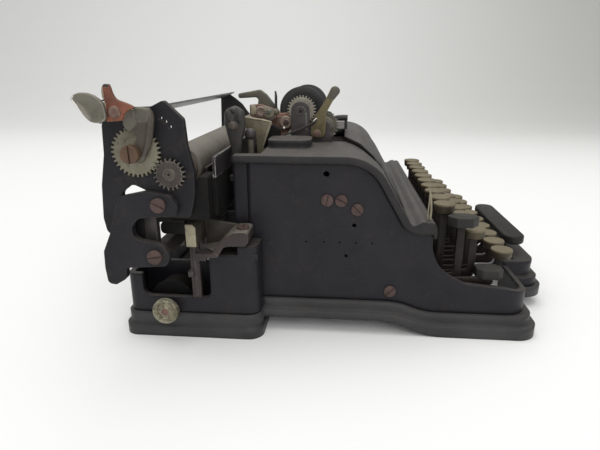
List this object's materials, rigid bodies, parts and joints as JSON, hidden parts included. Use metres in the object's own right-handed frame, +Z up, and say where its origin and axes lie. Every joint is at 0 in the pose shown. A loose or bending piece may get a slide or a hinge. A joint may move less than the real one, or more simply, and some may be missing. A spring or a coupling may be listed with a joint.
{
  "type": "typewriter",
  "caption": "Low three-bank desk typewriter with rearward-thrusting type bars, a sliding platen carriage, exposed ribbon spools and a curved cast case.",
  "frame": {"origin": "midway along the width and depth of the whole machine, on the surface it stands on", "axes": "+X to the typist's right along the platen, +Y away from the typist, +Z up"},
  "size_m": [0.3208, 0.2986, 0.164],
  "materials": {
    "case_enamel": "satin",
    "cover_enamel": "satin",
    "key_cap": "matte",
    "charcoal_cap": "matte",
    "dark_steel": "worn",
    "bright_steel": "worn",
    "cast_parts": "worn",
    "tarnished_gear": "tarnished",
    "platen_rubber": "matte",
    "old_brass": "tarnished",
    "spool_enamel": "satin",
    "rusty_screw": "rusty"
  },
  "bodies": {
    "frame": {"base_casting": "case_enamel", "rear_housing": "case_enamel", "side_panel_left": "case_enamel", "side_panel_right": "case_enamel", "front_apron": "case_enamel", "top_cover": "cover_enamel", "type_shield": "cover_enamel", "inner_frame": "dark_steel", "typebars": "bright_steel", "guide_rails": "bright_steel", "ribbon_frame": "dark_steel", "case_screws": "rusty_screw"},
    "carriage": {"carriage_end_left": "cast_parts", "carriage_end_right": "cast_parts", "c_brackets": "cast_parts", "carriage_bars": "dark_steel", "paper_table": "dark_steel", "paper_rest": "bright_steel", "carriage_screws": "rusty_screw"},
    "key_01": {"key_01": "key_cap"},
    "key_02": {"key_02": "key_cap"},
    "key_03": {"key_03": "key_cap"},
    "key_04": {"key_04": "key_cap"},
    "key_05": {"key_05": "key_cap"},
    "key_06": {"key_06": "key_cap"},
    "key_07": {"key_07": "key_cap"},
    "key_08": {"key_08": "key_cap"},
    "key_09": {"key_09": "key_cap"},
    "key_10": {"key_10": "key_cap"},
    "key_11": {"key_11": "key_cap"},
    "key_12": {"key_12": "key_cap"},
    "key_13": {"key_13": "key_cap"},
    "key_14": {"key_14": "key_cap"},
    "key_15": {"key_15": "key_cap"},
    "key_16": {"key_16": "key_cap"},
    "key_17": {"key_17": "key_cap"},
    "key_18": {"key_18": "key_cap"},
    "key_19": {"key_19": "key_cap"},
    "key_20": {"key_20": "key_cap"},
    "key_21": {"key_21": "key_cap"},
    "key_22": {"key_22": "key_cap"},
    "key_23": {"key_23": "key_cap"},
    "key_24": {"key_24": "key_cap"},
    "key_25": {"key_25": "key_cap"},
    "key_26": {"key_26": "key_cap"},
    "key_27": {"key_27": "key_cap"},
    "key_28": {"key_28": "key_cap"},
    "shift_key_capitals": {"shift_key_capitals": "charcoal_cap"},
    "shift_key_figures": {"shift_key_figures": "charcoal_cap"},
    "space_bar": {"space_bar": "charcoal_cap"},
    "platen": {"platen": "platen_rubber"},
    "line_space_gear": {"line_space_gear": "tarnished_gear"},
    "line_space_lever": {"line_space_lever": "bright_steel"},
    "spring_drum": {"spring_drum": "dark_steel"},
    "escapement": {"escapement": "bright_steel"},
    "spool_left": {"spool_left": "spool_enamel"},
    "spool_right": {"spool_right": "spool_enamel"},
    "ribbon_gear": {"ribbon_gear": "tarnished_gear"},
    "ribbon_paddle": {"ribbon_paddle": "old_brass"},
    "ribbon_lever": {"ribbon_lever": "dark_steel"}
  },
  "joints": [
    {"name": "key_01_press", "type": "hinge", "parent": "frame", "child": "key_01", "pos_m": [0, 0.0247, 0.03], "axis": [1, 0, 0], "range_deg": [0, 4.5], "stiffness_Nm_per_rad": 0.12, "springref_deg": -20.05},
    {"name": "key_02_press", "type": "hinge", "parent": "frame", "child": "key_02", "pos_m": [0, 0.0247, 0.03], "axis": [1, 0, 0], "range_deg": [0, 4.5], "stiffness_Nm_per_rad": 0.12, "springref_deg": -20.05},
    {"name": "key_03_press", "type": "hinge", "parent": "frame", "child": "key_03", "pos_m": [0, 0.0247, 0.03], "axis": [1, 0, 0], "range_deg": [0, 4.5], "stiffness_Nm_per_rad": 0.12, "springref_deg": -20.05},
    {"name": "key_04_press", "type": "hinge", "parent": "frame", "child": "key_04", "pos_m": [0, 0.0247, 0.03], "axis": [1, 0, 0], "range_deg": [0, 4.5], "stiffness_Nm_per_rad": 0.12, "springref_deg": -20.05},
    {"name": "key_05_press", "type": "hinge", "parent": "frame", "child": "key_05", "pos_m": [0, 0.0247, 0.03], "axis": [1, 0, 0], "range_deg": [0, 4.5], "stiffness_Nm_per_rad": 0.12, "springref_deg": -20.05},
    {"name": "key_06_press", "type": "hinge", "parent": "frame", "child": "key_06", "pos_m": [0, 0.0247, 0.03], "axis": [1, 0, 0], "range_deg": [0, 4.5], "stiffness_Nm_per_rad": 0.12, "springref_deg": -20.05},
    {"name": "key_07_press", "type": "hinge", "parent": "frame", "child": "key_07", "pos_m": [0, 0.0247, 0.03], "axis": [1, 0, 0], "range_deg": [0, 4.5], "stiffness_Nm_per_rad": 0.12, "springref_deg": -20.05},
    {"name": "key_08_press", "type": "hinge", "parent": "frame", "child": "key_08", "pos_m": [0, 0.0247, 0.03], "axis": [1, 0, 0], "range_deg": [0, 4.5], "stiffness_Nm_per_rad": 0.12, "springref_deg": -20.05},
    {"name": "key_09_press", "type": "hinge", "parent": "frame", "child": "key_09", "pos_m": [0, 0.0247, 0.03], "axis": [1, 0, 0], "range_deg": [0, 4.5], "stiffness_Nm_per_rad": 0.12, "springref_deg": -20.05},
    {"name": "key_10_press", "type": "hinge", "parent": "frame", "child": "key_10", "pos_m": [0, 0.0247, 0.03], "axis": [1, 0, 0], "range_deg": [0, 4.5], "stiffness_Nm_per_rad": 0.12, "springref_deg": -20.05},
    {"name": "key_11_press", "type": "hinge", "parent": "frame", "child": "key_11", "pos_m": [0, 0.0247, 0.03], "axis": [1, 0, 0], "range_deg": [0, 3.8], "stiffness_Nm_per_rad": 0.12, "springref_deg": -20.05},
    {"name": "key_12_press", "type": "hinge", "parent": "frame", "child": "key_12", "pos_m": [0, 0.0247, 0.03], "axis": [1, 0, 0], "range_deg": [0, 3.8], "stiffness_Nm_per_rad": 0.12, "springref_deg": -20.05},
    {"name": "key_13_press", "type": "hinge", "parent": "frame", "child": "key_13", "pos_m": [0, 0.0247, 0.03], "axis": [1, 0, 0], "range_deg": [0, 3.8], "stiffness_Nm_per_rad": 0.12, "springref_deg": -20.05},
    {"name": "key_14_press", "type": "hinge", "parent": "frame", "child": "key_14", "pos_m": [0, 0.0247, 0.03], "axis": [1, 0, 0], "range_deg": [0, 3.8], "stiffness_Nm_per_rad": 0.12, "springref_deg": -20.05},
    {"name": "key_15_press", "type": "hinge", "parent": "frame", "child": "key_15", "pos_m": [0, 0.0247, 0.03], "axis": [1, 0, 0], "range_deg": [0, 3.8], "stiffness_Nm_per_rad": 0.12, "springref_deg": -20.05},
    {"name": "key_16_press", "type": "hinge", "parent": "frame", "child": "key_16", "pos_m": [0, 0.0247, 0.03], "axis": [1, 0, 0], "range_deg": [0, 3.8], "stiffness_Nm_per_rad": 0.12, "springref_deg": -20.05},
    {"name": "key_17_press", "type": "hinge", "parent": "frame", "child": "key_17", "pos_m": [0, 0.0247, 0.03], "axis": [1, 0, 0], "range_deg": [0, 3.8], "stiffness_Nm_per_rad": 0.12, "springref_deg": -20.05},
    {"name": "key_18_press", "type": "hinge", "parent": "frame", "child": "key_18", "pos_m": [0, 0.0247, 0.03], "axis": [1, 0, 0], "range_deg": [0, 3.8], "stiffness_Nm_per_rad": 0.12, "springref_deg": -20.05},
    {"name": "key_19_press", "type": "hinge", "parent": "frame", "child": "key_19", "pos_m": [0, 0.0247, 0.03], "axis": [1, 0, 0], "range_deg": [0, 3.8], "stiffness_Nm_per_rad": 0.12, "springref_deg": -20.05},
    {"name": "key_20_press", "type": "hinge", "parent": "frame", "child": "key_20", "pos_m": [0, 0.0247, 0.03], "axis": [1, 0, 0], "range_deg": [0, 2.8], "stiffness_Nm_per_rad": 0.12, "springref_deg": -20.05},
    {"name": "key_21_press", "type": "hinge", "parent": "frame", "child": "key_21", "pos_m": [0, 0.0247, 0.03], "axis": [1, 0, 0], "range_deg": [0, 2.8], "stiffness_Nm_per_rad": 0.12, "springref_deg": -20.05},
    {"name": "key_22_press", "type": "hinge", "parent": "frame", "child": "key_22", "pos_m": [0, 0.0247, 0.03], "axis": [1, 0, 0], "range_deg": [0, 2.8], "stiffness_Nm_per_rad": 0.12, "springref_deg": -20.05},
    {"name": "key_23_press", "type": "hinge", "parent": "frame", "child": "key_23", "pos_m": [0, 0.0247, 0.03], "axis": [1, 0, 0], "range_deg": [0, 2.8], "stiffness_Nm_per_rad": 0.12, "springref_deg": -20.05},
    {"name": "key_24_press", "type": "hinge", "parent": "frame", "child": "key_24", "pos_m": [0, 0.0247, 0.03], "axis": [1, 0, 0], "range_deg": [0, 2.8], "stiffness_Nm_per_rad": 0.12, "springref_deg": -20.05},
    {"name": "key_25_press", "type": "hinge", "parent": "frame", "child": "key_25", "pos_m": [0, 0.0247, 0.03], "axis": [1, 0, 0], "range_deg": [0, 2.8], "stiffness_Nm_per_rad": 0.12, "springref_deg": -20.05},
    {"name": "key_26_press", "type": "hinge", "parent": "frame", "child": "key_26", "pos_m": [0, 0.0247, 0.03], "axis": [1, 0, 0], "range_deg": [0, 2.8], "stiffness_Nm_per_rad": 0.12, "springref_deg": -20.05},
    {"name": "key_27_press", "type": "hinge", "parent": "frame", "child": "key_27", "pos_m": [0, 0.0247, 0.03], "axis": [1, 0, 0], "range_deg": [0, 2.8], "stiffness_Nm_per_rad": 0.12, "springref_deg": -20.05},
    {"name": "key_28_press", "type": "hinge", "parent": "frame", "child": "key_28", "pos_m": [0, 0.0247, 0.03], "axis": [1, 0, 0], "range_deg": [0, 2.8], "stiffness_Nm_per_rad": 0.12, "springref_deg": -20.05},
    {"name": "shift_key_capitals_press", "type": "hinge", "parent": "frame", "child": "shift_key_capitals", "pos_m": [0, 0.0247, 0.03], "axis": [1, 0, 0], "range_deg": [0, 2], "stiffness_Nm_per_rad": 0.12, "springref_deg": -20.05},
    {"name": "shift_key_figures_press", "type": "hinge", "parent": "frame", "child": "shift_key_figures", "pos_m": [0, 0.0247, 0.03], "axis": [1, 0, 0], "range_deg": [0, 2.2], "stiffness_Nm_per_rad": 0.12, "springref_deg": -20.05},
    {"name": "space_bar_press", "type": "hinge", "parent": "frame", "child": "space_bar", "pos_m": [0, 0.0247, 0.03], "axis": [1, 0, 0], "range_deg": [0, 1.5], "stiffness_Nm_per_rad": 0.12, "springref_deg": -20.05},
    {"name": "carriage_slide", "type": "slide", "parent": "frame", "child": "carriage", "axis": [1, 0, 0], "range_m": [-0.1, 0.1]},
    {"name": "platen_turn", "type": "hinge", "parent": "carriage", "child": "platen", "pos_m": [0, 0.1025, 0.1145], "axis": [1, 0, 0], "continuous": true},
    {"name": "gear_turn", "type": "hinge", "parent": "carriage", "child": "line_space_gear", "pos_m": [-0.1488, 0.1208, 0.1269], "axis": [1, 0, 0], "continuous": true},
    {"name": "line_space_push", "type": "hinge", "parent": "carriage", "child": "line_space_lever", "pos_m": [-0.153, 0.1208, 0.1269], "axis": [1, 0, 0], "range_deg": [0, 25], "stiffness_Nm_per_rad": 0.05, "springref_deg": -17.19},
    {"name": "drum_wind", "type": "hinge", "parent": "frame", "child": "spring_drum", "pos_m": [-0.112, 0.118, 0.02], "axis": [1, 0, 0], "range_deg": [-410, 410]},
    {"name": "escapement_turn", "type": "hinge", "parent": "frame", "child": "escapement", "pos_m": [0, 0.1177, 0.0486], "axis": [0, 1, 0], "range_deg": [-960, 960]},
    {"name": "spool_left_spin", "type": "hinge", "parent": "frame", "child": "spool_left", "pos_m": [-0.033, 0.0367, 0.1422], "axis": [1, 0, 0], "continuous": true},
    {"name": "spool_right_spin", "type": "hinge", "parent": "frame", "child": "spool_right", "pos_m": [0.033, 0.0367, 0.1422], "axis": [1, 0, 0], "continuous": true},
    {"name": "ribbon_gear_spin", "type": "hinge", "parent": "frame", "child": "ribbon_gear", "pos_m": [-0.04, 0.019, 0.1313], "axis": [1, 0, 0], "continuous": true},
    {"name": "ribbon_paddle_flip", "type": "hinge", "parent": "frame", "child": "ribbon_paddle", "pos_m": [-0.05, 0.0242, 0.1265], "axis": [1, 0, 0], "range_deg": [-8, 8]},
    {"name": "ribbon_lever_lift", "type": "hinge", "parent": "frame", "child": "ribbon_lever", "pos_m": [-0.018, 0.0602, 0.137], "axis": [1, 0, 0], "range_deg": [0, 15]}
  ],
  "couplings": [
    {"joint": "gear_turn", "follows": "platen_turn", "ratio": -0.625},
    {"joint": "drum_wind", "follows": "carriage_slide", "rad_per_m": 71.429},
    {"joint": "escapement_turn", "follows": "carriage_slide", "rad_per_m": 166.67},
    {"joint": "ribbon_gear_spin", "follows": "spool_left_spin", "ratio": -1}
  ]
}
